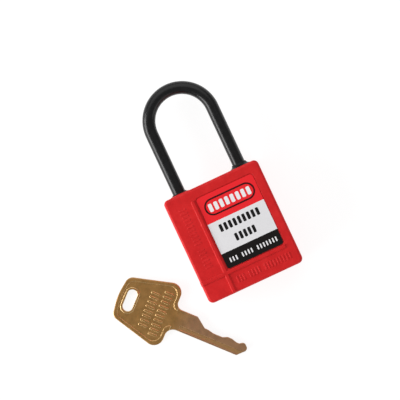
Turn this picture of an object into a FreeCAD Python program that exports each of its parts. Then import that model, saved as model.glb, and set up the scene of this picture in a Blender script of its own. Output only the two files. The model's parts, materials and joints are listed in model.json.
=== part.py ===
"""Safety padlock: moulded two-shell body, long dielectric shackle, five-pin cylinder, and its key beside it.

Frame, in millimetres: the padlock lies on its back. The origin is the centre of the body's back face, +X runs
across the body, +Y runs towards the shackle and +Z points up, out of the label side.

How it works: the key turns the plug, the plug turns an oval actuator, and the actuator pushes two steel
balls into notches in the shackle's two legs. The solids show the shackle closed, with the balls drawn in.
A quarter turn of the plug pushes them out and lines the keyway up with the pin chambers: that is the locked
state.
"""

import FreeCAD
import Part
import math
import os

V = FreeCAD.Vector

# Allowances that several pieces share
OVER = 1.0  # how far a cutting solid runs past the face that it cuts
FIT = 0.05  # clearance round a piece that is dropped into place
PRESS = 0.02  # clearance round a piece that is pressed or welded into place
RUNNING = 0.08  # clearance between a leg and its bush
END_GAP = 0.1  # clearance at one end of each spring
ROUND_END = 0.98  # share of the half width that the corners of a rounded end take
TINY = 1e-5  # lengths below this count as nothing

# Body, the two moulded shells together
BODY_W = 42.2
BODY_H = 46.0
FACE_Z = 19.5
RIB_TOP_Z = 20.0
MID_Z = FACE_Z / 2
TOP_Y = BODY_H / 2
BASE_Y = -BODY_H / 2
SIDE_X = BODY_W / 2
TOP_CORNER_R = 2.0
BASE_CORNER_R = 2.2
EDGE_R = 1.1
SEAM_DEPTH = 0.25
SEAM_HALF = 0.12
BACK_PANEL_X, BACK_PANEL_Y, BACK_PANEL_R = 15.0, 17.0, 2.0
BACK_LINE_W, BACK_LINE_DEPTH = 0.6, 0.3
PEGS = ((-19.0, 14.5), (19.0, 14.5), (-18.6, -20.2), (18.6, -20.2))
PEG_R, PEG_LENGTH, PEG_ROOT = 0.9, 4.0, 1.0
PEG_END_GAP = 0.2
CORING_X = ((-18.8, -5.0), (5.0, 10.0))
CORING_Y0, CORING_Y1 = 6.4, 10.6
CORING_WALL = 2.2

# Raised ribs on the label side
RIB_W = 1.65
RIB_ROOT_Z = FACE_Z - 1.6
RIB_EDGE_R = 0.4
RIB_END_R = 0.3
UPRIGHT_RIB_X = -9.9
UPRIGHT_RIB_TOP = 18.5
CROSS_RIB_Y = -14.15
CROSS_RIB_END_X = 16.9
RIB_SIDE_PROUD = 0.1
RIB_SIDE_ROOT = 0.6

# Label and its shallow seat
LABEL_X0, LABEL_X1 = -8.35, 16.8
LABEL_Y0, LABEL_Y1 = -12.95, 18.4
LABEL_R = 1.25
LABEL_T = 0.25
SEAT_DEPTH = 0.3
SEAT_MARGIN = 0.35

# Embossed plain bars, which stand where a maker's wording would be
BAR_PROUD = 0.13
BAR_LONG = 2.9
BAR_W = 0.7
BAR_ROOT = 0.05  # how far a bar reaches down into the face under it
BAR_SOFT = 0.6  # share of a bar's height that its softened top edge takes
SIDE_BAR_X = -15.1
SIDE_BAR_TOP = 16.5
SIDE_BAR_PITCH = 1.5
SIDE_BAR_GROUPS = (11, 6)
BASE_BAR_LEFT = -6.4
BASE_BAR_Y = -18.4
BASE_BAR_PITCH = 1.37
BASE_BAR_GROUPS = (3, 4, 9)

# Shackle
LEG_D = 5.4
LEG_R = LEG_D / 2
LEG_SPACING = 27.4
LEG_X = LEG_SPACING / 2
CLEARANCE = 38.2
BEND_Y = TOP_Y + CLEARANCE - (LEG_X - LEG_R)
TOE_TIP_Y = 12.5
LIFT = 12.0
TOE_POINT, TOE_POINT_CHAMFER = 0.9, 0.7
HEEL_HEAD, HEEL_HEAD_CHAMFER = 3.5, 0.4
HEEL_NECK_R = 1.6
BORE_GAP = 0.1  # clearance between a leg and the body below its bush
TOE_ROOM = 0.8  # depth of bore left under the toe's tip
SPRING_R, SPRING_WIRE_R, SPRING_TURNS = 1.95, 0.3, 8

# Leg bushes in the top of the body. The toe's stands in a low boss, the heel's has a flared skirt
BUSH_DEPTH = 2.8
TOE_BUSH_R, TOE_SKIRT_R, TOE_SKIRT_H = 3.3, 3.3, 0.45
HEEL_BUSH_R, HEEL_SKIRT_R, HEEL_SKIRT_H = 3.6, 4.4, 1.5
LIP_W = 0.3
SKIRT_RIM = 0.12  # upright rim at the skirt's foot
FLARE_OUT, FLARE_UP = 0.25, 0.42  # the flare's middle, as shares of its width and height
BOSS_H, BOSS_ROOT = 0.3, 0.2
BOSS_BASE_R, BOSS_TOP_R = 4.6, 3.8

# Locking balls and the oval actuator between them
BALL_R = 3.0
BALL_Y = 17.0
BALL_IN_X = LEG_X - LEG_R - 0.25 - BALL_R
BALL_TRAVEL = 1.15
BALL_HOLE_R = 3.1
NOTCH_R = 3.15
CAM_SHORT = BALL_IN_X - BALL_R - 0.13
CAM_LONG = CAM_SHORT + BALL_TRAVEL
CAM_Y0, CAM_Y1 = 14.0, 20.0
CAM_ROOM = 0.25  # clearance round the turning oval
CAM_GAP = 0.1  # clearance round the stem and over the plug's tang
STEM_R = 3.0
STEM_Y0 = 7.0
STEM_ROOM_R = STEM_R + 0.3

# Zinc block that carries the balls
BLOCK_X = 9.6
BLOCK_Y0, BLOCK_Y1 = 12.6, 20.6
BLOCK_HALF_Z = 6.9

# Retaining pin, which rides in the heel leg's neck
PIN_R = 1.0
PIN_Y = 8.2
PIN_X = LEG_X + HEEL_NECK_R + PIN_R + 0.1
PIN_Z0, PIN_Z1 = 2.2, 17.3
NECK_TOP_Y = PIN_Y + PIN_R + 0.3
HEAD_TOP_Y = PIN_Y - PIN_R - 0.1 - LIFT
HEEL_TIP_Y = HEAD_TOP_Y - HEEL_HEAD
HEEL_BORE_Y0 = -20.0

# Cylinder: housing, plug and five pin stacks
PLUG_R = 6.0
HEAD_R = 6.7
PLUG_Y0, PLUG_Y1 = -20.0, 5.0
HEAD_T = 1.0
HEAD_RING_R0, HEAD_RING_R1, HEAD_RING_DEPTH = HEAD_R - 0.8, HEAD_R - 0.5, 0.15
HOUSING_R = 7.6
MOUTH_R, MOUTH_CHAMFER = 6.9, 0.6
LOBE_X = -16.0
LOBE_HALF_Z = 4.0
LOBE_INSET = 1.0  # the lobe is this much shorter than the barrel at each end
SHEAR_GAP = 0.05
TAIL_R = 4.6
TAIL_Y1 = 6.9
TANG_HALF_X, TANG_HALF_Z, TANG_LENGTH = 2.6, 1.2, 2.0
CLIP_R, CLIP_T, CLIP_MOUTH = HOUSING_R - 1.0, 0.6, 3.2
CLIP_GROOVE_Y = PLUG_Y1 + 0.15
CLIP_GROOVE_W, CLIP_GROOVE_DEPTH = 0.7, 0.7

# Pin stacks: key pin, driver pin and spring, five times
PIN_COUNT = 5
FIRST_PIN_Y = -15.0
PIN_PITCH = 3.4
CHAMBER_R = 1.35
CHAMBER_PAST_CUT = 0.95  # how far each chamber reaches past its pin's tip
TUMBLER_R, TUMBLER_CHAMFER = 1.28, 0.2
KEY_PIN_OUTER_X = -PLUG_R + 0.1
KEY_PIN_POINT, KEY_PIN_POINT_R = 0.8, 0.5
DRIVER_LENGTH = 3.5
DRIVER_INNER_X = -PLUG_R - SHEAR_GAP - 0.03
DRIVER_SPRING_R, DRIVER_WIRE_R, DRIVER_TURNS = 0.98, 0.13, 7
CAP_T = 0.75
CAP_HALF_Z = 1.7
CAP_REACH = 2.4  # from the end pins' centres to the cap's ends

# Keyway, in the locked position, where the pins come from -X and the blade's back is towards +X
BLADE_AXIS_X = 1.0
KEYWAY_HALF = 1.15
KEYWAY_X0, KEYWAY_X1 = -3.65, 5.35
KEYWAY_Y1 = 4.6
WARD, WARD_GAP = 0.3, 0.15

# Key. Its own frame has +X towards the tip, +Y towards the cuts, and the origin where the bow meets the neck
KEY_POS = V(-38.2, -22.78, 0)
KEY_ANGLE = -47.4
BOW_T = 2.4
BLADE_T = 2.0
STEP = (BOW_T - BLADE_T) / 2
BOW_EDGE_R = 0.3
BOW_TIP_X = -25.5
BOW_END_X = -0.95
BOW_CORNER_X = BOW_TIP_X + 1.3
BOW_WIDE_Y, BOW_WIDE_R = 15.0, 4.2
BOW_NARROW_Y, BOW_NARROW_R = 8.85, 3.2
BOW_BOWED_R = 24.0
RIM_W, NECK_RIM_W = 1.4, 0.85
RIM_EDGE_R = 0.15
PANEL_END_X = 1.0
WIDE_INSET, NARROW_INSET = 1.3, 0.8
RING_SLOT_X = -19.9
RING_SLOT_W, RING_SLOT_H = 4.3, 9.6
RING_RIM_W = 0.8
KEY_BAR_LONG, KEY_BAR_W = 3.9, 0.8
KEY_BAR_PITCH = 2.05
KEY_BAR_SHY = 0.02  # how far the bars stop short of the rim's height
KEY_BAR_ROWS = ((-11.0, 8, 6.8), (-5.8, 10, 8.9))  # place along the key, bars, first bar's place across it
BLADE_TOP, BLADE_BACK = 4.45, -4.15
NECK_R, NECK_BACK_R = 2.6, 3.6
CUT_START_X = 8.9
CUTS = (1.1, 0.5, 0.5, 1.4, 0.72)
FIRST_CUT_X = 14.3
CUT_CORNERS = (  # (cut, distance past its pin, corner radius), from the tip back to the bow
    (4, 1.2, 0.8),
    (4, 0.0, 1.5),
    (3, 1.1, 1.2),
    (3, -0.9, 1.0),
    (2, 0.6, 1.0),
    (1, -0.3, 2.0),
    (0, 0.6, 1.0),
    (0, -0.9, 1.2),
)
BLADE_TIP_X = 32.85
TIP_CORNERS = (  # (distance from the tip, height, corner radius)
    (3.1, BLADE_BACK, 0.8),
    (0.0, -1.0, 1.2),
    (0.0, 0.3, 0.9),
    (1.4, 1.6, 0.8),
    (2.5, 1.6, 0.6),
)
SHOULDER_R = 0.5
GROOVE_Y0, GROOVE_Y1 = -3.4, -1.8
GROOVE_BACK_DEPTH, GROOVE_CUT_DEPTH = 0.15, 0.45
GROOVE_X0 = 3.5


def box(x0, x1, y0, y1, z0, z1):
    return Part.makeBox(x1 - x0, y1 - y0, z1 - z0, V(x0, y0, z0))


def rod_x(y, z, r, x0, x1):
    return Part.makeCylinder(r, x1 - x0, V(x0, y, z), V(1, 0, 0))


def rod_y(x, z, r, y0, y1):
    return Part.makeCylinder(r, y1 - y0, V(x, y0, z), V(0, 1, 0))


def rod_z(x, y, r, z0, z1):
    return Part.makeCylinder(r, z1 - z0, V(x, y, z0), V(0, 0, 1))


def unit(v):
    return v * (1 / v.Length)


def rounded_wire(corners, z):
    """Closed wire at height z through (x, y, radius) corners, each rounded by an arc between its sides."""
    points = [V(x, y, z) for x, y, _ in corners]
    ends = []
    for i, (_, _, r) in enumerate(corners):
        here = points[i]
        if not r:
            ends.append((here, here, here, r))
            continue
        back = unit(points[i - 1] - here)
        ahead = unit(points[(i + 1) % len(points)] - here)
        half = back.getAngle(ahead) / 2
        reach = r / math.tan(half)
        centre = here + unit(back + ahead) * (r / math.sin(half))
        middle = centre + unit(here - centre) * r
        ends.append((here + back * reach, middle, here + ahead * reach, r))
    edges = []
    for i, (start, middle, end, r) in enumerate(ends):
        if r:
            edges.append(Part.Arc(start, middle, end).toShape())
        following = ends[(i + 1) % len(ends)][0]
        if (following - end).Length > TINY:
            edges.append(Part.LineSegment(end, following).toShape())
    return Part.Wire(edges)


def plate(corners, z0, z1):
    """Flat plate between heights z0 and z1 with a rounded outline."""
    return Part.Face(rounded_wire(corners, z0)).extrude(V(0, 0, z1 - z0))


def rectangle(x0, x1, y0, y1, r):
    return [(x0, y0, r), (x1, y0, r), (x1, y1, r), (x0, y1, r)]


def fillet_at_z(shape, r, *heights):
    """Rounds every edge that lies wholly in one of the horizontal planes named."""

    def lies_in(edge, z):
        return abs(edge.BoundBox.ZMin - z) < TINY and abs(edge.BoundBox.ZMax - z) < TINY

    return shape.makeFillet(r, [e for e in shape.Edges if any(lies_in(e, z) for z in heights)])


def revolve_y(edges, x, z):
    """Solid of revolution about the line through (x, z) along Y, from the edges of its half section."""
    return Part.Face(Part.Wire(edges)).revolve(V(x, 0, z), V(0, 1, 0), 360)


def coil(radius, wire_r, length, turns):
    """Compression spring along +Z from the origin, its wire's outside between 0 and length."""
    travel = length - 2 * wire_r
    path = Part.makeHelix(travel / turns, travel, radius)
    section = Part.Wire(Part.makeCircle(wire_r, V(radius, 0, 0), V(0, 1, 0)))
    spring = Part.Wire(path.Edges).makePipeShell([section], True, True)
    spring.translate(V(0, 0, wire_r))
    return spring


def block_outline(inset, side_proud=0.0):
    x = SIDE_X - inset
    y = TOP_Y - inset
    return [
        (-x - side_proud, -y, BASE_CORNER_R),
        (x, -y, BASE_CORNER_R),
        (x, y, TOP_CORNER_R),
        (-x - side_proud, y, TOP_CORNER_R),
    ]


def body_block():
    """The whole body's outer form, rounded all round, before it is divided and hollowed."""
    return fillet_at_z(plate(block_outline(0), 0, FACE_Z), EDGE_R, 0, FACE_Z)


def ribs():
    """Upright and cross rib, as high as RIB_TOP_Z, the cross rib running over the left edge to the seam."""
    half = RIB_W / 2
    foot = BASE_Y - OVER
    left = -SIDE_X - OVER
    upright_outline = [
        (UPRIGHT_RIB_X - half, foot, 0),
        (UPRIGHT_RIB_X + half, foot, 0),
        (UPRIGHT_RIB_X + half, UPRIGHT_RIB_TOP, half * ROUND_END),
        (UPRIGHT_RIB_X - half, UPRIGHT_RIB_TOP, half * ROUND_END),
    ]
    cross_outline = [
        (left, CROSS_RIB_Y - half, 0),
        (CROSS_RIB_END_X, CROSS_RIB_Y - half, RIB_END_R),
        (CROSS_RIB_END_X, CROSS_RIB_Y + half, RIB_END_R),
        (left, CROSS_RIB_Y + half, 0),
    ]
    bars = [plate(outline, RIB_ROOT_Z, RIB_TOP_Z) for outline in (upright_outline, cross_outline)]
    bars = [fillet_at_z(bar, RIB_EDGE_R, RIB_TOP_Z) for bar in bars]
    side = box(left, RIB_SIDE_ROOT - SIDE_X, CROSS_RIB_Y - half, CROSS_RIB_Y + half, MID_Z, RIB_TOP_Z)
    grown = plate(block_outline(0, RIB_SIDE_PROUD), 0, RIB_TOP_Z)
    grown = fillet_at_z(grown, EDGE_R + RIB_SIDE_PROUD, RIB_TOP_Z)
    return [bar.common(grown) for bar in (*bars, side)]


def plain_bar(x, y, along_x, along_y, z0, proud):
    """One embossed bar with rounded ends and a softened top."""
    r = min(along_x, along_y) / 2 * ROUND_END
    outline = rectangle(x - along_x / 2, x + along_x / 2, y - along_y / 2, y + along_y / 2, r)
    return fillet_at_z(plate(outline, z0, z0 + proud), proud * BAR_SOFT, z0 + proud)


def bar_centres(start, pitch, groups):
    """Places of the bars along one row: groups of bars with one bar's room left between groups."""
    step = 0
    places = []
    for count in groups:
        places += [start + pitch * (step + k) for k in range(count)]
        step += count + 1
    return places


def embossed_bars():
    z0 = FACE_Z - BAR_ROOT
    proud = BAR_PROUD + BAR_ROOT
    side = [
        plain_bar(SIDE_BAR_X, y, BAR_LONG, BAR_W, z0, proud)
        for y in bar_centres(SIDE_BAR_TOP, -SIDE_BAR_PITCH, SIDE_BAR_GROUPS)
    ]
    base = [
        plain_bar(x, BASE_BAR_Y, BAR_W, BAR_LONG, z0, proud)
        for x in bar_centres(BASE_BAR_LEFT, BASE_BAR_PITCH, BASE_BAR_GROUPS)
    ]
    return side + base


def leg_bores():
    """Holes for both legs, with the wider seats of their bushes."""
    r = LEG_R + BORE_GAP
    top = TOP_Y + BOSS_H + OVER
    seat_y = TOP_Y - BUSH_DEPTH - PRESS
    return [
        rod_y(LEG_X, MID_Z, r, HEEL_BORE_Y0, top),
        rod_y(-LEG_X, MID_Z, r, TOE_TIP_Y - TOE_ROOM, top),
        rod_y(LEG_X, MID_Z, HEEL_BUSH_R + PRESS, seat_y, top),
        rod_y(-LEG_X, MID_Z, TOE_BUSH_R + PRESS, seat_y, top),
    ]


def mechanism_room():
    """Pockets for the cylinder, its clip, the actuator's stem, the ball block and the retaining pin."""
    lobe_z = LOBE_HALF_Z + FIT
    lobe_y0 = PLUG_Y0 + LOBE_INSET - FIT
    lobe_y1 = PLUG_Y1 - LOBE_INSET + FIT
    block_z = BLOCK_HALF_Z + FIT
    rim = MOUTH_CHAMFER + OVER
    return [
        rod_y(0, MID_Z, HOUSING_R + FIT, PLUG_Y0 - FIT, PLUG_Y1 + FIT),
        box(LOBE_X - FIT, 0, lobe_y0, lobe_y1, MID_Z - lobe_z, MID_Z + lobe_z),
        rod_y(0, MID_Z, MOUTH_R, BASE_Y - OVER, PLUG_Y0),
        Part.makeCone(MOUTH_R, MOUTH_R + rim, rim, V(0, BASE_Y + MOUTH_CHAMFER, MID_Z), V(0, -1, 0)),
        rod_y(0, MID_Z, MOUTH_R, PLUG_Y1, STEM_Y0),
        rod_y(0, MID_Z, STEM_ROOM_R, TAIL_Y1, BLOCK_Y0),
        box(-BLOCK_X - FIT, BLOCK_X + FIT, BLOCK_Y0 - FIT, BLOCK_Y1 + FIT, MID_Z - block_z, MID_Z + block_z),
        rod_x(BALL_Y, MID_Z, BALL_HOLE_R, -LEG_X, LEG_X),
        rod_z(PIN_X, PIN_Y, PIN_R + PRESS, PIN_Z0 - FIT, PIN_Z1 + FIT),
    ]


def coring():
    """Lightening pockets that keep the moulding's walls even, each side of the actuator's stem."""
    return [box(x0, x1, CORING_Y0, CORING_Y1, CORING_WALL, FACE_Z - CORING_WALL) for x0, x1 in CORING_X]


def seam_groove():
    """Fine line all round the body where the two shells meet."""
    x = SIDE_X + OVER
    y = TOP_Y + OVER
    ring = box(-x, x, -y, y, MID_Z - SEAM_HALF, MID_Z + SEAM_HALF)
    return ring.cut(plate(block_outline(SEAM_DEPTH), 0, FACE_Z))


def label_seat():
    m = SEAT_MARGIN
    outline = rectangle(LABEL_X0 - m, LABEL_X1 + m, LABEL_Y0 - m, LABEL_Y1 + m, LABEL_R + m)
    return plate(outline, FACE_Z - SEAT_DEPTH, FACE_Z + OVER)


def back_panel_groove():
    """Shallow line moulded round the plain panel on the back."""
    x = BACK_PANEL_X - BACK_LINE_W
    y = BACK_PANEL_Y - BACK_LINE_W
    outer = rectangle(-BACK_PANEL_X, BACK_PANEL_X, -BACK_PANEL_Y, BACK_PANEL_Y, BACK_PANEL_R)
    inner = rectangle(-x, x, -y, y, BACK_PANEL_R - BACK_LINE_W)
    return plate(outer, -OVER, BACK_LINE_DEPTH).cut(plate(inner, -2 * OVER, BACK_LINE_DEPTH + OVER))


def shells():
    """Front shell with its ribs, bars, label seat and pegs, and rear shell with the sockets."""
    x = SIDE_X + OVER
    y = TOP_Y + BOSS_H + OVER
    boss_at = V(-LEG_X, TOP_Y - BOSS_ROOT, MID_Z)
    boss = Part.makeCone(BOSS_BASE_R, BOSS_TOP_R, BOSS_H + BOSS_ROOT, boss_at, V(0, 1, 0))
    whole = body_block().fuse([boss]).removeSplitter()
    hollow = leg_bores() + mechanism_room() + coring() + [seam_groove()]
    front = whole.common(box(-x, x, -y, y, MID_Z, RIB_TOP_Z)).cut(label_seat())
    front = front.fuse(ribs()).fuse(embossed_bars()).cut(hollow)
    rear = whole.common(box(-x, x, -y, y, -OVER, MID_Z)).cut(hollow + [back_panel_groove()])
    peg_z = MID_Z - PEG_LENGTH
    front = front.fuse([rod_z(px, py, PEG_R, peg_z, MID_Z + PEG_ROOT) for px, py in PEGS])
    sockets = [rod_z(px, py, PEG_R + PRESS, peg_z - PEG_END_GAP, MID_Z + OVER) for px, py in PEGS]
    return front.removeSplitter(), rear.cut(sockets).removeSplitter()


def front_label():
    z0 = FACE_Z - SEAT_DEPTH
    outline = rectangle(LABEL_X0, LABEL_X1, LABEL_Y0, LABEL_Y1, LABEL_R)
    return plate(outline, z0, z0 + LABEL_T)


def bush(x, foot_y, bush_r, skirt_r, skirt_h):
    """Pressed-in leg bush with a lip round the leg, flaring down to the body at foot_y."""
    bore_r = LEG_R + RUNNING
    lip_r = bore_r + LIP_W
    top_y = foot_y + skirt_h
    low_y = TOP_Y - BUSH_DEPTH
    rim_y = foot_y + SKIRT_RIM

    def at(r, y):
        return V(x + r, y, MID_Z)

    middle = at(lip_r + (skirt_r - lip_r) * FLARE_OUT, rim_y + (top_y - rim_y) * FLARE_UP)
    flare = Part.Arc(at(skirt_r, rim_y), middle, at(lip_r, top_y))
    corners = [at(lip_r, top_y), at(bore_r, top_y), at(bore_r, low_y), at(bush_r, low_y), at(bush_r, foot_y)]
    if skirt_r > bush_r:
        corners.append(at(skirt_r, foot_y))
    corners.append(at(skirt_r, rim_y))
    edges = [Part.LineSegment(a, b).toShape() for a, b in zip(corners, corners[1:])]
    return revolve_y(edges + [flare.toShape()], x, MID_Z)


def shackle():
    """Bow and two legs: a notched toe, and a notched, necked heel that stays captive."""
    section = Part.Face(Part.Wire(Part.makeCircle(LEG_R, V(LEG_X, BEND_Y, MID_Z), V(0, 1, 0))))
    bow = section.revolve(V(0, BEND_Y, MID_Z), V(0, 0, 1), 180)
    up = V(0, 1, 0)
    toe_at = V(-LEG_X, TOE_TIP_Y, MID_Z)
    heel_at = V(LEG_X, HEEL_TIP_Y, MID_Z)
    toe = rod_y(-LEG_X, MID_Z, LEG_R, TOE_TIP_Y + TOE_POINT, BEND_Y)
    toe_point = Part.makeCone(LEG_R - TOE_POINT_CHAMFER, LEG_R, TOE_POINT, toe_at, up)
    heel = rod_y(LEG_X, MID_Z, LEG_R, NECK_TOP_Y, BEND_Y)
    neck = rod_y(LEG_X, MID_Z, HEEL_NECK_R, HEAD_TOP_Y, NECK_TOP_Y)
    head = rod_y(LEG_X, MID_Z, LEG_R, HEEL_TIP_Y + HEEL_HEAD_CHAMFER, HEAD_TOP_Y)
    head_point = Part.makeCone(LEG_R - HEEL_HEAD_CHAMFER, LEG_R, HEEL_HEAD_CHAMFER, heel_at, up)
    whole = bow.fuse([toe, toe_point, heel, neck, head, head_point])
    ball_out_x = BALL_IN_X + BALL_TRAVEL
    notches = [Part.makeSphere(NOTCH_R, V(side * ball_out_x, BALL_Y, MID_Z)) for side in (-1, 1)]
    return whole.cut(notches).removeSplitter()


def shackle_spring():
    """Spring under the heel leg, standing on the floor of its bore."""
    y0 = HEEL_BORE_Y0 + FIT
    spring = coil(SPRING_R, SPRING_WIRE_R, HEEL_TIP_Y - END_GAP - y0, SPRING_TURNS)
    spring.rotate(V(0, 0, 0), V(1, 0, 0), -90)
    spring.translate(V(LEG_X, y0, MID_Z))
    return spring


def retaining_pin():
    return rod_z(PIN_X, PIN_Y, PIN_R, PIN_Z0, PIN_Z1)


def lock_block():
    """Die-cast block round the actuator, with the cross hole that guides the balls."""
    block = box(-BLOCK_X, BLOCK_X, BLOCK_Y0, BLOCK_Y1, MID_Z - BLOCK_HALF_Z, MID_Z + BLOCK_HALF_Z)
    return block.cut(
        [
            rod_y(0, MID_Z, CAM_LONG + CAM_ROOM, CAM_Y0 - CAM_GAP, BLOCK_Y1 + OVER),
            rod_y(0, MID_Z, STEM_R + CAM_GAP, BLOCK_Y0 - OVER, CAM_Y0),
            rod_x(BALL_Y, MID_Z, BALL_HOLE_R, -BLOCK_X - OVER, BLOCK_X + OVER),
        ]
    )


def ball(side):
    return Part.makeSphere(BALL_R, V(side * BALL_IN_X, BALL_Y, MID_Z))


def actuator():
    """Oval head that drives the balls, on a stem forked over the plug's tang."""
    oval = Part.Ellipse(V(0, CAM_Y0, MID_Z), CAM_LONG, CAM_SHORT).toShape()
    oval.rotate(V(0, CAM_Y0, MID_Z), V(1, 0, 0), -90)
    oval.rotate(V(0, CAM_Y0, MID_Z), V(0, 1, 0), 90)
    head = Part.Face(Part.Wire(oval)).extrude(V(0, CAM_Y1 - CAM_Y0, 0))
    stem = rod_y(0, MID_Z, STEM_R, STEM_Y0, CAM_Y0)
    fork_x = STEM_R + OVER
    fork_y = TAIL_Y1 + TANG_LENGTH + CAM_GAP
    fork_z = TANG_HALF_Z + FIT
    fork = box(-fork_x, fork_x, STEM_Y0 - OVER, fork_y, MID_Z - fork_z, MID_Z + fork_z)
    return head.fuse(stem).cut(fork).removeSplitter()


def pin_y(k):
    return FIRST_PIN_Y + PIN_PITCH * k


def housing():
    """Cylinder housing: a barrel with a lobe of five pin chambers towards -X, and a slot for their cap."""
    barrel = rod_y(0, MID_Z, HOUSING_R, PLUG_Y0, PLUG_Y1)
    lobe_y0 = PLUG_Y0 + LOBE_INSET
    lobe_y1 = PLUG_Y1 - LOBE_INSET
    lobe = box(LOBE_X, 0, lobe_y0, lobe_y1, MID_Z - LOBE_HALF_Z, MID_Z + LOBE_HALF_Z)
    slot_y0 = pin_y(0) - CAP_REACH
    slot_y1 = pin_y(PIN_COUNT - 1) + CAP_REACH
    slot_z = CAP_HALF_Z + FIT
    removed = [
        rod_y(0, MID_Z, PLUG_R + SHEAR_GAP, PLUG_Y0 - OVER, PLUG_Y1 + OVER),
        rod_y(0, MID_Z, HEAD_R + SHEAR_GAP, PLUG_Y0 - OVER, PLUG_Y0 + HEAD_T + SHEAR_GAP),
        box(LOBE_X - OVER, LOBE_X + CAP_T + FIT, slot_y0, slot_y1, MID_Z - slot_z, MID_Z + slot_z),
    ]
    removed += [rod_x(pin_y(k), MID_Z, CHAMBER_R, LOBE_X, 0) for k in range(PIN_COUNT)]
    return barrel.fuse(lobe).cut(removed).removeSplitter()


def chamber_cap():
    """Strip that closes the five chambers behind the springs."""
    y0 = pin_y(0) - CAP_REACH + FIT
    y1 = pin_y(PIN_COUNT - 1) + CAP_REACH - FIT
    return box(LOBE_X, LOBE_X + CAP_T, y0, y1, MID_Z - CAP_HALF_Z, MID_Z + CAP_HALF_Z)


def turned_to_rest(shape):
    """Plug pieces are drawn locked, with the pins towards -X. At rest the plug stands a quarter turn back."""
    shape.rotate(V(0, 0, MID_Z), V(0, 1, 0), -90)
    return shape


def keyway():
    """Slot for the blade, with the ward that the blade's groove clears."""
    z0 = MID_Z - KEYWAY_HALF
    z1 = MID_Z + KEYWAY_HALF
    slot = box(KEYWAY_X0, KEYWAY_X1, PLUG_Y0 - OVER, KEYWAY_Y1, z0, z1)
    ward_x0 = BLADE_AXIS_X - GROOVE_Y1 + WARD_GAP
    ward_x1 = BLADE_AXIS_X - GROOVE_Y0 - WARD_GAP
    return slot.cut(box(ward_x0, ward_x1, PLUG_Y0 - 2 * OVER, KEYWAY_Y1 + OVER, z1 - WARD, z1 + OVER))


def cut_x(k):
    """Where key cut k leaves pin k's tip, in the plug."""
    return BLADE_AXIS_X - CUTS[k]


def ring_y(inner_r, outer_r, y0, y1):
    """Flat ring about the cylinder's axis."""
    return rod_y(0, MID_Z, outer_r, y0, y1).cut(rod_y(0, MID_Z, inner_r, y0 - OVER, y1 + OVER))


def plug():
    """Plug with its wider head, the keyway, five chambers, a tail with a clip groove, and the drive tang."""
    core = rod_y(0, MID_Z, PLUG_R, PLUG_Y0, PLUG_Y1)
    head = rod_y(0, MID_Z, HEAD_R, PLUG_Y0, PLUG_Y0 + HEAD_T)
    tail = rod_y(0, MID_Z, TAIL_R, PLUG_Y1, TAIL_Y1)
    tang_y1 = TAIL_Y1 + TANG_LENGTH
    tang = box(-TANG_HALF_X, TANG_HALF_X, TAIL_Y1, tang_y1, MID_Z - TANG_HALF_Z, MID_Z + TANG_HALF_Z)
    groove_r = TAIL_R - CLIP_GROOVE_DEPTH
    clip_groove = ring_y(groove_r, TAIL_R + OVER, CLIP_GROOVE_Y, CLIP_GROOVE_Y + CLIP_GROOVE_W)
    face_ring = ring_y(HEAD_RING_R0, HEAD_RING_R1, PLUG_Y0 - OVER, PLUG_Y0 + HEAD_RING_DEPTH)
    chambers = [
        rod_x(pin_y(k), MID_Z, CHAMBER_R, -HEAD_R, cut_x(k) + CHAMBER_PAST_CUT) for k in range(PIN_COUNT)
    ]
    body = core.fuse([head, tail]).cut([clip_groove, face_ring, keyway(), *chambers])
    turned = turned_to_rest(body.removeSplitter())
    return turned.fuse(tang).removeSplitter()


def plug_clip():
    """Spring-steel C clip in the plug's tail groove, against the housing's inner end."""
    y0 = CLIP_GROOVE_Y + FIT
    y1 = y0 + CLIP_T
    ring = ring_y(TAIL_R - CLIP_GROOVE_DEPTH + FIT, CLIP_R, y0, y1)
    return ring.cut(box(-CLIP_MOUTH / 2, CLIP_MOUTH / 2, y0 - OVER, y1 + OVER, MID_Z, MID_Z + CLIP_R + OVER))


def end_circles(rod):
    """The two round edges at the ends of a rod along X."""
    return [e for e in rod.Edges if e.Closed and e.BoundBox.XLength < TINY]


def key_pin(k):
    """Lower pin of stack k: a cylinder up to the shear line with a pointed tip on the key side."""
    point_x = cut_x(k) - KEY_PIN_POINT
    shank = rod_x(pin_y(k), MID_Z, TUMBLER_R, KEY_PIN_OUTER_X, point_x)
    outer = [e for e in end_circles(shank) if e.BoundBox.XMax < KEY_PIN_OUTER_X + TINY]
    shank = shank.makeChamfer(TUMBLER_CHAMFER, outer)
    point_at = V(point_x, pin_y(k), MID_Z)
    point = Part.makeCone(TUMBLER_R, KEY_PIN_POINT_R, KEY_PIN_POINT, point_at, V(1, 0, 0))
    return turned_to_rest(shank.fuse(point))


def driver_pin(k):
    """Upper pin of stack k, just outside the plug, with softened ends."""
    bar = rod_x(pin_y(k), MID_Z, TUMBLER_R, DRIVER_INNER_X - DRIVER_LENGTH, DRIVER_INNER_X)
    return bar.makeChamfer(TUMBLER_CHAMFER, end_circles(bar))


def driver_spring(k):
    """Spring between driver k and the chamber cap."""
    x0 = LOBE_X + CAP_T + END_GAP
    x1 = DRIVER_INNER_X - DRIVER_LENGTH - FIT
    spring = coil(DRIVER_SPRING_R, DRIVER_WIRE_R, x1 - x0, DRIVER_TURNS)
    spring.rotate(V(0, 0, 0), V(0, 1, 0), 90)
    spring.translate(V(x0, pin_y(k), MID_Z))
    return spring


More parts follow.
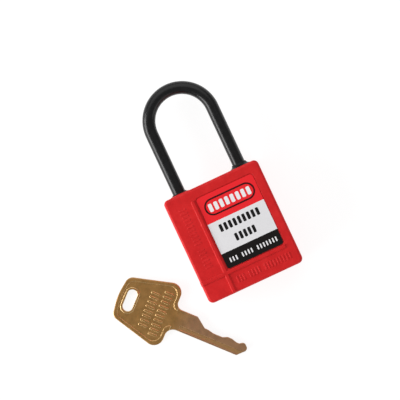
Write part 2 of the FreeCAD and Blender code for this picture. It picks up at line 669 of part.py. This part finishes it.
def bow_corners(inset):
    """Corners of the key's bow, which is wide towards the blade and bowed at its outer end.

    An inset moves the narrow corners in less than the wide ones, and that keeps the rim's width even.
    """
    wide_y = BOW_WIDE_Y - inset * WIDE_INSET
    narrow_y = BOW_NARROW_Y - inset * NARROW_INSET
    wide_r = BOW_WIDE_R - inset / 2
    return [
        (BOW_END_X - inset, wide_y, wide_r),
        (BOW_CORNER_X + inset, narrow_y, BOW_NARROW_R),
        (BOW_TIP_X + inset, 0, BOW_BOWED_R),
        (BOW_CORNER_X + inset, -narrow_y, BOW_NARROW_R),
        (BOW_END_X - inset, -wide_y, wide_r),
    ]


def key_outline():
    """Whole key: bow, filleted neck, blade with its cuts, and the tip. Cut k is where pin k bears."""
    tip = [(BLADE_TIP_X - back, y, r) for back, y, r in TIP_CORNERS]
    cuts = [(FIRST_CUT_X + PIN_PITCH * k + past, CUTS[k], r) for k, past, r in CUT_CORNERS]
    shoulder = (CUT_START_X, BLADE_TOP, SHOULDER_R)
    neck_top = (BOW_END_X, BLADE_TOP, NECK_R)
    neck_back = (BOW_END_X, BLADE_BACK, NECK_BACK_R)
    return [neck_back, *tip, *cuts, shoulder, neck_top, *bow_corners(0)]


def panel_outline():
    """Sunk face of the bow: the bow less its rim, run out through the neck to the blade's own level."""
    y0 = BLADE_BACK + NECK_RIM_W
    y1 = BLADE_TOP - NECK_RIM_W
    inner_x = BOW_END_X - RIM_W
    neck = [(inner_x, y0, NECK_R), (PANEL_END_X, y0, 0), (PANEL_END_X, y1, 0), (inner_x, y1, NECK_R)]
    return neck + bow_corners(RIM_W)


def ring_slot(grow, z0, z1):
    """Slot for a key ring, with fully rounded ends."""
    half_w = RING_SLOT_W / 2 + grow
    half_h = RING_SLOT_H / 2 + grow
    x0 = RING_SLOT_X - half_w
    x1 = RING_SLOT_X + half_w
    return plate(rectangle(x0, x1, -half_h, half_h, half_w * ROUND_END), z0, z1)


def key_groove():
    """Milled groove along the blade, deepest beside the cuts and shallow towards the back."""
    face_z = BOW_T - STEP
    section = [
        V(GROOVE_X0, GROOVE_Y1, face_z - GROOVE_CUT_DEPTH),
        V(GROOVE_X0, GROOVE_Y1, BOW_T + OVER),
        V(GROOVE_X0, GROOVE_Y0, BOW_T + OVER),
        V(GROOVE_X0, GROOVE_Y0, face_z - GROOVE_BACK_DEPTH),
    ]
    return Part.Face(Part.makePolygon(section + section[:1])).extrude(V(BLADE_TIP_X, 0, 0))


def key_bars():
    """Two rows of plain raised bars across the bow."""
    z0 = BOW_T - STEP - BAR_ROOT
    proud = STEP + BAR_ROOT - KEY_BAR_SHY
    bars = []
    for x, count, top in KEY_BAR_ROWS:
        places = bar_centres(top, -KEY_BAR_PITCH, (count,))
        bars += [plain_bar(x, y, KEY_BAR_LONG, KEY_BAR_W, z0, proud) for y in places]
    return bars


def key():
    """Key with a raised rim round the bow and the ring slot, two rows of plain bars and a milled groove."""
    outline = key_outline()
    over_z = BOW_T + OVER
    past_bow = box(0, BLADE_TIP_X + OVER, -BOW_WIDE_Y, BOW_WIDE_Y, -OVER, over_z)
    bow = fillet_at_z(plate(outline, 0, BOW_T), BOW_EDGE_R, 0, BOW_T).cut(past_bow)
    blade = plate(outline, STEP, BOW_T - STEP)
    panel = fillet_at_z(plate(panel_outline(), BOW_T - STEP, over_z), RIM_EDGE_R, BOW_T - STEP)
    panel = panel.cut(ring_slot(RING_RIM_W, -OVER, over_z + OVER))
    under = panel.mirror(V(0, 0, BOW_T / 2), V(0, 0, 1))
    slot = ring_slot(0, -OVER, over_z)
    solid = bow.fuse(blade).cut([panel, under, slot, key_groove()]).fuse(key_bars()).removeSplitter()
    solid.rotate(V(0, 0, 0), V(0, 0, 1), KEY_ANGLE)
    solid.translate(KEY_POS)
    return solid


def save(name, shape):
    solids = shape.Solids
    volume = sum(s.Volume for s in solids)
    print(f"{name:18s} solids {len(solids)}  volume {volume:9.2f} mm3  valid {shape.isValid()}")
    whole = solids[0] if len(solids) == 1 else Part.makeCompound(solids)
    whole.exportStep(f"parts/{name}.step")


def main():
    os.makedirs("parts", exist_ok=True)
    front, rear = shells()
    save("front_shell", front)
    save("rear_shell", rear)
    save("front_label", front_label())
    save("toe_bush", bush(-LEG_X, TOP_Y + BOSS_H, TOE_BUSH_R, TOE_SKIRT_R, TOE_SKIRT_H))
    save("heel_bush", bush(LEG_X, TOP_Y, HEEL_BUSH_R, HEEL_SKIRT_R, HEEL_SKIRT_H))
    save("shackle", shackle())
    save("shackle_spring", shackle_spring())
    save("retaining_pin", retaining_pin())
    save("lock_block", lock_block())
    save("toe_ball", ball(-1))
    save("heel_ball", ball(1))
    save("actuator", actuator())
    save("cylinder_housing", housing())
    save("chamber_cap", chamber_cap())
    save("plug", plug())
    save("plug_clip", plug_clip())
    for k in range(PIN_COUNT):
        save(f"key_pin_{k + 1}", key_pin(k))
        save(f"driver_pin_{k + 1}", driver_pin(k))
        save(f"driver_spring_{k + 1}", driver_spring(k))
    save("key", key())


main()
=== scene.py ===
"""Looks of the safety padlock and its key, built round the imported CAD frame.

Lengths are in millimetres times MM. Every place comes from the CAD nodes' boxes, in the CAD's own axes:
+X across the body, +Y towards the shackle, +Z out of the label.
"""

import json
import math

import bmesh
import bpy
from mathutils import Matrix, Vector


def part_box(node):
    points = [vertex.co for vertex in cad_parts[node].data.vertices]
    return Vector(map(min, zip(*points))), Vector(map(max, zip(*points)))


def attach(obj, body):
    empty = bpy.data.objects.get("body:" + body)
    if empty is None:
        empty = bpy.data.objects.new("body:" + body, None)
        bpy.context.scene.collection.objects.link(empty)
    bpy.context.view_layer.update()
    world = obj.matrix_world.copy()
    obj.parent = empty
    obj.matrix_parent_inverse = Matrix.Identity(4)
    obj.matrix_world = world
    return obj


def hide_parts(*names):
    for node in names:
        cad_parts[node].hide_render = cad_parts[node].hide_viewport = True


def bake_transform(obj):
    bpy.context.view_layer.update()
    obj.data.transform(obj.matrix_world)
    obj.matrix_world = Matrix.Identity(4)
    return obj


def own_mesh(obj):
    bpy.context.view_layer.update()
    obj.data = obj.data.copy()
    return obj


MM = 0.001
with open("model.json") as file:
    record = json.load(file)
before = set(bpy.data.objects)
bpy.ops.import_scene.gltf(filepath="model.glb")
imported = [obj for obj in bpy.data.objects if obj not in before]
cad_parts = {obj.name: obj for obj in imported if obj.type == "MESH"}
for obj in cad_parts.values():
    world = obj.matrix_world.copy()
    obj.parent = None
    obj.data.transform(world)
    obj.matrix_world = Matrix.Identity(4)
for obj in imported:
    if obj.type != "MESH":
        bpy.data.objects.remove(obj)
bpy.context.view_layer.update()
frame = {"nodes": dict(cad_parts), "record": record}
nodes = frame["nodes"]
scene = bpy.context.scene

label_low, label_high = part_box("front_label")
key_low, key_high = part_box("key")
FACE_Z = label_high.z


# ---------------------------------------------------------------- camera, floor and light

CAMERA_DISTANCE = 800 * MM
VIEW_WIDTH = 163 * MM
VIEW_CENTRE = Vector((-6.8 * MM, 17.45 * MM, FACE_Z))
VIEW_ROLL = math.radians(25.07)
VIEW_LEAN = math.radians(2.0)
SENSOR = 36.0
NEAREST, FARTHEST = 0.01, 20

WHITE = (1, 1, 1, 1)
SKY_STRENGTH = 0.33
# Name, place, size and watts of each light. They all point at the origin.
LIGHTS = (
    ("key_light", Vector((-0.8, 0.1, 0.33)), (0.9, 0.42), 8.0),
    ("top_light", Vector((0.15, 0.8, 0.75)), (1.6, 1.2), 5.0),
    ("fill_light", Vector((0.45, -0.8, 0.3)), (1.2, 0.5), 2.0),
)

FLOOR_HALF = 3.0
FLOOR_DROP = 0.02 * MM
FLOOR_GREY = (128, 128, 128)
FLOOR_GLOW = 0.87


def add_camera():
    """Nearly straight above, leaning a little to the right, rolled so that the shackle points up and left."""
    camera = bpy.data.objects.new("camera", bpy.data.cameras.new("camera"))
    scene.collection.objects.link(camera)
    back = Vector((math.sin(VIEW_LEAN), 0, math.cos(VIEW_LEAN)))
    up = Vector((math.sin(VIEW_ROLL), math.cos(VIEW_ROLL), 0))
    right = up.cross(back).normalized()
    up = back.cross(right)
    turn = Matrix((right, up, back)).transposed()
    camera.rotation_euler = turn.to_euler()
    camera.location = VIEW_CENTRE + back * CAMERA_DISTANCE
    camera.data.sensor_width = SENSOR
    camera.data.lens = SENSOR * CAMERA_DISTANCE / VIEW_WIDTH
    camera.data.clip_start = NEAREST
    camera.data.clip_end = FARTHEST
    scene.camera = camera


def add_light(name, place, size, power):
    lamp = bpy.data.lights.new(name, "AREA")
    lamp.shape = "RECTANGLE"
    lamp.size, lamp.size_y = size
    lamp.energy = power
    obj = bpy.data.objects.new(name, lamp)
    scene.collection.objects.link(obj)
    obj.location = place
    obj.rotation_euler = (-place).to_track_quat("-Z", "Y").to_euler()


def add_sky():
    world = bpy.data.worlds.new("studio")
    world.use_nodes = True
    background = world.node_tree.nodes["Background"]
    background.inputs["Color"].default_value = WHITE
    background.inputs["Strength"].default_value = SKY_STRENGTH
    scene.world = world
    scene.view_settings.view_transform = "Standard"


def add_floor():
    """White paper just under the padlock's back. Its own glow keeps it white beside the object."""
    mesh = bpy.data.meshes.new("floor")
    corners = [(x * FLOOR_HALF, y * FLOOR_HALF, 0) for x, y in ((-1, -1), (1, -1), (1, 1), (-1, 1))]
    mesh.from_pydata(corners, [], [(0, 1, 2, 3)])
    floor = bpy.data.objects.new("floor", mesh)
    scene.collection.objects.link(floor)
    floor.location.z = -FLOOR_DROP
    paper = Finish("paper", FLOOR_GREY, roughness=0.9, specular=0.0)
    paper.set("Emission Color", WHITE)
    paper.set("Emission Strength", FLOOR_GLOW)
    floor.data.materials.append(paper.material)


def add_studio():
    add_sky()
    for light in LIGHTS:
        add_light(*light)
    add_floor()


# ---------------------------------------------------------------- shader layers

NOISE_ROUGHNESS = 0.55
BEVEL_SAMPLES = 8
# How far a rounded normal agrees with the face's own: this little on an edge, this much on a flat
EDGE_AGREES, FLAT_AGREES = 0.82, 0.99


def linear(channel):
    """Linear light of one sRGB channel from 0 to 255."""
    c = channel / 255
    return c / 12.92 if c <= 0.04045 else ((c + 0.055) / 1.055) ** 2.4


def colour(rgb):
    return (*[linear(c) for c in rgb], 1)


class Finish:
    """A material whose layers of colour, roughness and bump are added one at a time to one shader."""

    def __init__(self, name, rgb, roughness, metallic=0.0, specular=0.5):
        self.material = bpy.data.materials.new(name)
        self.material.use_nodes = True
        self.tree = self.material.node_tree
        self.shader = self.tree.nodes["Principled BSDF"]
        self.set("Base Color", colour(rgb))
        self.set("Roughness", roughness)
        self.set("Metallic", metallic)
        self.set("Specular IOR Level", specular)
        self.base = None
        self.bump_above = None
        self.coords = None

    def set(self, socket, value):
        self.shader.inputs[socket].default_value = value

    def link(self, source, target):
        self.tree.links.new(source, target)

    def drive(self, socket, source):
        self.link(source, self.shader.inputs[socket])

    def paint(self, base):
        """Makes base the colour, and keeps it for the layers to come."""
        self.base = base
        self.drive("Base Color", base)

    def node(self, kind, **settings):
        made = self.tree.nodes.new(kind)
        for key, value in settings.items():
            setattr(made, key, value)
        return made

    def place(self, stretch=(1, 1, 1)):
        """Object coordinates in metres, stretched per axis."""
        if self.coords is None:
            self.coords = self.node("ShaderNodeTexCoord").outputs["Object"]
        mapping = self.node("ShaderNodeMapping")
        mapping.inputs["Scale"].default_value = stretch
        self.link(self.coords, mapping.inputs["Vector"])
        return mapping.outputs["Vector"]

    def noise(self, size, detail=4.0, stretch=(1, 1, 1), distortion=0.0):
        """Noise whose features are about size across, in metres."""
        made = self.node("ShaderNodeTexNoise")
        made.inputs["Scale"].default_value = 1 / size
        made.inputs["Detail"].default_value = detail
        made.inputs["Roughness"].default_value = NOISE_ROUGHNESS
        made.inputs["Distortion"].default_value = distortion
        self.link(self.place(stretch), made.inputs["Vector"])
        return made.outputs["Fac"]

    def vary_roughness(self, middle, shinier, duller, noise):
        """Roughness that wanders from shinier below the middle value to duller above it."""
        self.drive("Roughness", self.ramp(noise, (0.3, middle - shinier), (0.7, middle + duller)))

    def cells(self, size):
        """Rounded cells about size across, in metres."""
        made = self.node("ShaderNodeTexVoronoi", feature="SMOOTH_F1")
        made.inputs["Scale"].default_value = 1 / size
        self.link(self.place(), made.inputs["Vector"])
        return made.outputs["Distance"]

    def ramp(self, fac, *stops):
        """Grey or colour ramp: stops are (position, value), where a value is a number or an sRGB triple."""
        made = self.node("ShaderNodeValToRGB")
        elements = made.color_ramp.elements
        while len(elements) < len(stops):
            elements.new(0.5)
        for element, (position, value) in zip(elements, stops):
            element.position = position
            element.color = colour(value) if isinstance(value, tuple) else (value, value, value, 1)
        self.link(fac, made.inputs["Fac"])
        return made.outputs["Color"]

    def mix(self, fac, below, above, mode="MIX"):
        """Lays above over below by fac. Each of the three is a value or another node's output."""
        made = self.node("ShaderNodeMix", data_type="RGBA", blend_type=mode)
        fac_socket, below_socket, above_socket = made.inputs[0], made.inputs[6], made.inputs[7]
        for socket, value in ((fac_socket, fac), (below_socket, below), (above_socket, above)):
            if hasattr(value, "links"):
                self.link(value, socket)
            else:
                socket.default_value = value
        return made.outputs[2]

    def multiply(self, below, above):
        return self.mix(1.0, below, above, "MULTIPLY")

    def bump(self, height, depth, strength=1.0):
        """Adds a bump of the given depth, in metres, over the bumps laid before it."""
        made = self.node("ShaderNodeBump")
        made.inputs["Strength"].default_value = strength
        made.inputs["Distance"].default_value = depth
        self.link(height, made.inputs["Height"])
        if self.bump_above is not None:
            self.link(self.bump_above, made.inputs["Normal"])
        self.bump_above = made.outputs["Normal"]
        self.drive("Normal", self.bump_above)

    def along(self, start, end):
        """0 at the point start, 1 at the point end, level across the line between them."""
        line = Vector(end) - Vector(start)
        scaled = line / line.length_squared
        made = self.node("ShaderNodeVectorMath", operation="DOT_PRODUCT")
        self.link(self.place(), made.inputs[0])
        made.inputs[1].default_value = scaled
        shifted = self.node("ShaderNodeMath", operation="SUBTRACT", use_clamp=True)
        self.link(made.outputs["Value"], shifted.inputs[0])
        shifted.inputs[1].default_value = scaled.dot(Vector(start))
        return shifted.outputs["Value"]

    def soften(self, width):
        """Shades every edge as if it were rounded over about width. Gives 1 along edges and 0 on flats."""
        rounded_normal = self.node("ShaderNodeBevel", samples=BEVEL_SAMPLES)
        rounded_normal.inputs["Radius"].default_value = width
        self.bump_above = rounded_normal.outputs["Normal"]
        self.drive("Normal", self.bump_above)
        agree = self.node("ShaderNodeVectorMath", operation="DOT_PRODUCT")
        self.link(self.bump_above, agree.inputs[0])
        self.link(self.node("ShaderNodeNewGeometry").outputs["Normal"], agree.inputs[1])
        return self.ramp(agree.outputs["Value"], (EDGE_AGREES, 1.0), (FLAT_AGREES, 0.0))


# ---------------------------------------------------------------- materials

# Sizes and depths of the features of each surface
NYLON_EDGE = 0.25 * MM
# Share of the paler colour laid along edges, a painted highlight
NYLON_EDGE_HIGHLIGHT = 0.4
NYLON_MOTTLE = 3.5 * MM
NYLON_SPECK = 0.5 * MM
NYLON_SHEEN = 1.6 * MM
NYLON_GRAIN, NYLON_GRAIN_DEPTH = 0.32 * MM, 0.012 * MM
NYLON_WAVE, NYLON_WAVE_DEPTH = 2.2 * MM, 0.03 * MM

INK_SPECULAR = 0.25
INK_TONE = 6 * MM
INK_PEEL, INK_PEEL_DEPTH = 1.4 * MM, 0.01 * MM

METAL_EDGE = 0.12 * MM
METAL_TARNISH = 4 * MM
METAL_LINE = 0.35 * MM
METAL_WEAR = 2.5 * MM
METAL_GRAIN = 0.3 * MM


def moulded_nylon(name, rgb, darker, lighter, roughness, specular):
    """Satin glass-filled nylon: soft mottling, fine spark-eroded grain and slightly shinier edges, painted
    paler as a highlight.
    """
    made = Finish(name, rgb, roughness=roughness, specular=specular)
    mottle = made.ramp(made.noise(NYLON_MOTTLE, detail=5), (0.3, darker), (0.52, rgb), (0.75, lighter))
    speck = made.ramp(made.noise(NYLON_SPECK, detail=2), (0.35, 0.95), (0.65, 1.0))
    base = made.multiply(mottle, speck)
    # Paler along the edges: a painted highlight where they round over
    edge_highlight = made.ramp(made.soften(NYLON_EDGE), (0.0, 0.0), (1.0, NYLON_EDGE_HIGHLIGHT))
    made.paint(made.mix(edge_highlight, base, colour(lighter)))
    made.vary_roughness(roughness, 0.06, 0.07, made.noise(NYLON_SHEEN))
    made.bump(made.cells(NYLON_GRAIN), NYLON_GRAIN_DEPTH)
    made.bump(made.noise(NYLON_WAVE, detail=3), NYLON_WAVE_DEPTH, strength=0.6)
    return made.material


def print_ink(name, rgb):
    """Ink under a satin film: even colour with a faint orange peel."""
    made = Finish(name, rgb, roughness=0.45, specular=INK_SPECULAR)
    tone = made.ramp(made.noise(INK_TONE, detail=2), (0.3, 0.965), (0.7, 1.0))
    made.paint(made.multiply(colour(rgb), tone))
    made.bump(made.noise(INK_PEEL, detail=2), INK_PEEL_DEPTH)
    return made.material


def metal_finish(name, rgb, darker, bright, roughness, depth, grain=(1, 1, 1), edge=METAL_EDGE):
    """Metal with a machined or rubbed grain, patchy tarnish and bright edges, partly wear and partly a
    painted highlight.
    """
    made = Finish(name, rgb, roughness=roughness, metallic=1.0)
    patches = made.ramp(made.noise(METAL_TARNISH, detail=6, distortion=0.4), (0.35, darker), (0.68, rgb))
    lines = made.ramp(made.noise(METAL_LINE, detail=3, stretch=grain), (0.3, 0.86), (0.7, 1.0))
    base = made.multiply(patches, lines)
    # Brighter along the edges: partly wear, partly a painted highlight
    made.paint(made.mix(made.soften(edge), base, colour(bright)))
    made.vary_roughness(roughness, 0.06, 0.1, made.noise(METAL_WEAR, detail=5))
    made.bump(made.noise(METAL_GRAIN, detail=2, stretch=grain), depth)
    return made


def metal(*settings, **more):
    return metal_finish(*settings, **more).material


# The key's own axes. Places on it are measured along and across it from where the bow meets the neck.
KEY_ANGLE = math.radians(-47.4)
key_along = Vector((math.cos(KEY_ANGLE), math.sin(KEY_ANGLE), 0))
key_across = Vector((-math.sin(KEY_ANGLE), math.cos(KEY_ANGLE), 0))
UP = Vector((0, 0, 1))
BOX_CORNER = (33.49 * MM, -0.28 * MM)
MILLED_FADE = 8 * MM
MILLED_SHARE = 0.6
GROOVE_START = 3.5 * MM
GROOVE_LOW = -3.4 * MM
GROOVE_HIGH = -1.8 * MM
GROOVE_EDGE = 0.1 * MM
# Width of the bright edges, wide enough for a painted highlight as well as polish
KEY_EDGE = 0.35 * MM

KEY_BRASS = (198, 151, 91)
KEY_TARNISH = (186, 141, 83)
# Edge colour: polish from handling and a painted highlight
KEY_POLISH_AND_HIGHLIGHT = (255, 224, 168)
MILLED_BRASS = (190, 147, 121)
GROOVE_BRASS = (187, 145, 98)


def key_brass():
    """Tarnished brass, browner on the bow than on the milled blade, with edges polished by handling and
    brightened further as a painted highlight.
    """
    made = metal_finish("key_brass", KEY_BRASS, KEY_TARNISH, KEY_POLISH_AND_HIGHLIGHT, 0.42, 0.006 * MM, edge=KEY_EDGE)
    corner = Vector((key_high.x, key_low.y, 0))
    neck = corner - key_along * BOX_CORNER[0] - key_across * BOX_CORNER[1]

    def step(edge, inwards):
        """0 before the edge and 1 past it."""
        return made.along(edge - inwards * GROOVE_EDGE, edge + inwards * GROOVE_EDGE)

    milled = made.along(neck, neck + key_along * MILLED_FADE)
    clean = made.mix(MILLED_SHARE, made.base, colour(MILLED_BRASS))
    blade = made.mix(milled, made.base, clean)
    groove = step(UP * (key_high.z / 2), UP)
    groove = made.multiply(groove, step(neck + key_along * GROOVE_START, key_along))
    groove = made.multiply(groove, step(neck + key_across * GROOVE_LOW, key_across))
    groove = made.multiply(groove, step(neck + key_across * GROOVE_HIGH, -key_across))
    made.paint(made.mix(groove, blade, colour(GROOVE_BRASS)))
    return made.material


# Bright edge colours, partly wear and partly a painted highlight
STEEL_EDGE = (205, 206, 210)
BRASS_EDGE = (250, 214, 140)
materials = {
    "body_nylon": moulded_nylon("red_nylon", (217, 25, 27), (207, 21, 23), (225, 35, 36), 0.5, 0.3),
    "shackle_nylon": moulded_nylon("black_nylon", (7, 7, 8), (5, 5, 6), (12, 12, 14), 0.28, 0.42),
    "bush_plastic": moulded_nylon("black_acetal", (8, 8, 9), (6, 6, 7), (14, 14, 16), 0.4, 0.22),
    "label": print_ink("label_white", (238, 237, 239)),
    "hard_steel": metal(
        "ground_steel", (150, 151, 154), (122, 123, 127), STEEL_EDGE, 0.3, 0.004 * MM, grain=(1, 1, 12)
    ),
    "ball_steel": metal("bearing_steel", (178, 180, 184), (160, 162, 166), STEEL_EDGE, 0.14, 0.001 * MM),
    "spring_steel": metal("spring_steel", (128, 129, 133), (98, 99, 103), STEEL_EDGE, 0.34, 0.003 * MM),
    "zinc": metal("zinc_casting", (158, 159, 163), (132, 133, 138), STEEL_EDGE, 0.5, 0.015 * MM),
    "cylinder_brass": metal(
        "turned_brass", (196, 158, 84), (168, 130, 62), BRASS_EDGE, 0.28, 0.004 * MM, grain=(1, 14, 1)
    ),
    "key_brass": key_brass(),
}


# ---------------------------------------------------------------- label

LABEL_CORNER_R = 1.25 * MM
HEAD_SHARE = 0.368
FOOT_SHARE = 0.209
HEAD, PANEL, FOOT = 0, 1, 2

INK = 0.02 * MM
SINK = 0.01 * MM

# Lower left and upper right corners of the capsule, as shares of the label's width and height
CAPSULE_LOW = (0.065, 0.705)
CAPSULE_HIGH = (0.944, 0.934)
CAPSULE_LINE = 0.66 * MM
# A hair under half the height, so that the two ends stay apart from each other
CAPSULE_END = 0.999

# Radius of a bar's corners, as a share of its width
BAR_CORNER = 0.3


def rounded(x0, x1, y0, y1, r, steps=8):
    """Outline of a rectangle with rounded corners, counter-clockwise."""
    points = []
    corners = ((x1 - r, y1 - r, 0), (x0 + r, y1 - r, 1), (x0 + r, y0 + r, 2), (x1 - r, y0 + r, 3))
    for cx, cy, quarter in corners:
        for k in range(steps + 1):
            a = math.pi / 2 * (quarter + k / steps)
            points.append((cx + r * math.cos(a), cy + r * math.sin(a)))
    return points


def add_piece(name, bm, *finishes):
    mesh = bpy.data.meshes.new(name)
    bmesh.ops.recalc_face_normals(bm, faces=bm.faces)
    bm.to_mesh(mesh)
    bm.free()
    obj = bpy.data.objects.new(name, mesh)
    scene.collection.objects.link(obj)
    for finish in finishes:
        mesh.materials.append(finish)
    return obj


def extrude_outline(bm, outline, z0, z1):
    """Closed slab with the given outline."""
    low = [bm.verts.new((x, y, z0)) for x, y in outline]
    high = [bm.verts.new((x, y, z1)) for x, y in outline]
    bm.faces.new(low)
    bm.faces.new(high)
    for i in range(len(outline)):
        j = (i + 1) % len(outline)
        bm.faces.new((low[i], low[j], high[j], high[i]))


def extrude_ring(bm, outer, inner, z0, z1):
    """Closed band between two outlines with the same number of points."""
    rings = [[bm.verts.new((x, y, z)) for x, y in line] for line in (outer, inner) for z in (z0, z1)]
    loops = (rings[0], rings[1], rings[3], rings[2])
    for a, b in zip(loops, loops[1:] + loops[:1]):
        for i in range(len(outer)):
            j = (i + 1) % len(outer)
            bm.faces.new((a[i], a[j], b[j], b[i]))


def label_point(u, v):
    """Place on the label from shares of its width and height."""
    return (
        label_low.x + u * (label_high.x - label_low.x),
        label_low.y + v * (label_high.y - label_low.y),
    )


def add_label():
    """Printed film: red head, white panel, black foot."""
    film = bmesh.new()
    outline = rounded(label_low.x, label_high.x, label_low.y, label_high.y, LABEL_CORNER_R)
    extrude_outline(film, outline, label_low.z, FACE_Z)
    head_y = label_point(0, 1 - HEAD_SHARE)[1]
    foot_y = label_point(0, FOOT_SHARE)[1]
    for y in (head_y, foot_y):
        everything = film.verts[:] + film.edges[:] + film.faces[:]
        bmesh.ops.bisect_plane(film, geom=everything, plane_co=(0, y, 0), plane_no=(0, 1, 0))
    for face in film.faces:
        y = face.calc_center_median().y
        face.material_index = PANEL
        if y > head_y:
            face.material_index = HEAD
        if y < foot_y:
            face.material_index = FOOT
    red = print_ink("label_red", (246, 36, 44))
    black = print_ink("label_black", (15, 9, 7))
    obj = add_piece("label_film", film, red, materials["label"], black)
    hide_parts("front_label")
    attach(obj, "body")


def add_capsule():
    """Dark line round the head of the label."""
    x0, y0 = label_point(*CAPSULE_LOW)
    x1, y1 = label_point(*CAPSULE_HIGH)
    line = CAPSULE_LINE
    r = (y1 - y0) / 2 * CAPSULE_END
    ring = bmesh.new()
    outer = rounded(x0, x1, y0, y1, r, steps=16)
    inner = rounded(x0 + line, x1 - line, y0 + line, y1 - line, r - line, steps=16)
    extrude_ring(ring, outer, inner, FACE_Z - SINK, FACE_Z + INK)
    obj = add_piece("label_capsule", ring, print_ink("label_maroon", (54, 0, 2)))
    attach(obj, "body")


def add_bars(name, low, high, groups, fill, finish):
    """A row of plain bars, in groups, that stands where wording would be.

    The row runs between two corners, given as shares of the label. Each bar fills its share of the pitch.
    """
    x0, y0 = label_point(*low)
    x1, y1 = label_point(*high)
    steps = sum(groups) + len(groups) - 1
    pitch = (x1 - x0) / (steps - 1 + fill)
    width = pitch * fill
    bars = bmesh.new()
    place = 0
    for count in groups:
        for k in range(count):
            left = x0 + pitch * (place + k)
            outline = rounded(left, left + width, y0, y1, width * BAR_CORNER, steps=4)
            extrude_outline(bars, outline, FACE_Z - SINK, FACE_Z + INK)
        place += count + 1
    obj = add_piece(name, bars, finish)
    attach(obj, "body")


def add_label_art():
    white = print_ink("bar_white", (248, 247, 248))
    black = print_ink("bar_black", (14, 11, 12))
    add_label()
    add_capsule()
    add_bars("head_bars", (0.135, 0.762), (0.87, 0.872), (8,), 0.66, white)
    add_bars("upper_bars", (0.155, 0.472), (0.855, 0.575), (9,), 0.64, black)
    add_bars("lower_bars", (0.325, 0.285), (0.685, 0.388), (5,), 0.64, black)
    add_bars("foot_bars", (0.09, 0.064), (0.925, 0.126), (3, 4, 7), 0.42, white)


# ---------------------------------------------------------------- CAD nodes

SHARP = math.radians(32)
FLAT_WEIGHT = 100
PIN_COUNT = 5


def dress_nodes():
    """Gives every CAD node the finish of its slot, with flats that shade flat beside smooth fillets."""
    slots = {row["node"]: row["material_slot"] for row in frame["record"]["subparts"]}
    for name, obj in nodes.items():
        obj.data.materials.clear()
        obj.data.materials.append(materials[slots[name]])
        obj.data.shade_smooth()
        obj.data.set_sharp_from_angle(angle=SHARP)
        weighted = obj.modifiers.new("flats", "WEIGHTED_NORMAL")
        weighted.keep_sharp = True
        weighted.weight = FLAT_WEIGHT


def spring_piece(name, node):
    """A spring with the CAD spring's own shape and finish, free to change its length."""
    piece = bpy.data.objects.new(name, nodes[node].data.copy())
    scene.collection.objects.link(piece)
    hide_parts(node)
    return piece


def add_springs():
    """Gives each spring a piece of its own, since the drivers' springs shorten as the drivers slide out and
    the shackle's stretches as it lifts.
    """
    for k in range(1, PIN_COUNT + 1):
        piece = spring_piece(f"driver_coil_{k}", f"driver_spring_{k}")
        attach(piece, "body")
        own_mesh(piece)
    piece = spring_piece("shackle_coil", "shackle_spring")
    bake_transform(piece)


add_camera()
add_studio()
dress_nodes()
add_springs()
add_label_art()
